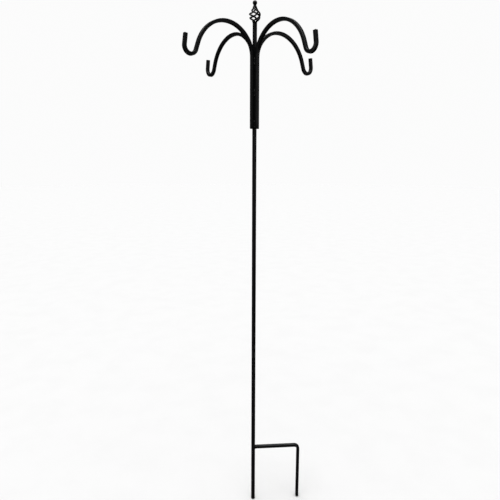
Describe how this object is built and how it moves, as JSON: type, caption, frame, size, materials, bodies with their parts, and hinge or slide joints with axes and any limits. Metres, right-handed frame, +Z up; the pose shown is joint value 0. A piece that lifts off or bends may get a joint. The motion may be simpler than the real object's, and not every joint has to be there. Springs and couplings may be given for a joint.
{
  "type": "garden feeder pole",
  "caption": "Tall square steel garden pole for hanging bird feeders: arched arms end in upturned hooks, with a twisted basket finial on top and an L-shaped step-in prong near the foot.",
  "frame": {"origin": "the pole's axis at its square-cut foot, the lowest point of the part", "axes": "+Z runs up the pole; +X runs along hook_arm_1 and +Y along hook_arm_2; the step prong points 35.5 degrees from +X towards -Y"},
  "size_m": [0.6474, 0.6474, 2.1336],
  "materials": {
    "black_coat": "satin black powder coat with a fine orange peel",
    "coated_weld": "the same black coat over rippled weld beads"
  },
  "bodies": {
    "root": {"centre_pole": "black_coat", "hook_arm_1": "black_coat", "hook_arm_2": "black_coat", "hook_arm_3": "black_coat", "hook_arm_4": "black_coat", "shank_weld_top_1": "coated_weld", "shank_weld_middle_1": "coated_weld", "shank_weld_bottom_1": "coated_weld", "shank_weld_top_2": "coated_weld", "shank_weld_middle_2": "coated_weld", "shank_weld_bottom_2": "coated_weld", "shank_weld_top_3": "coated_weld", "shank_weld_middle_3": "coated_weld", "shank_weld_bottom_3": "coated_weld", "shank_weld_top_4": "coated_weld", "shank_weld_middle_4": "coated_weld", "shank_weld_bottom_4": "coated_weld", "basket_base_collar": "black_coat", "basket_wire_1": "black_coat", "basket_wire_2": "black_coat", "basket_wire_3": "black_coat", "basket_wire_4": "black_coat", "basket_top_collar": "black_coat", "finial_neck": "black_coat", "finial_ball": "black_coat", "step_prong": "black_coat", "prong_weld_top": "coated_weld", "prong_weld_under": "coated_weld"}
  },
  "joints": []
}
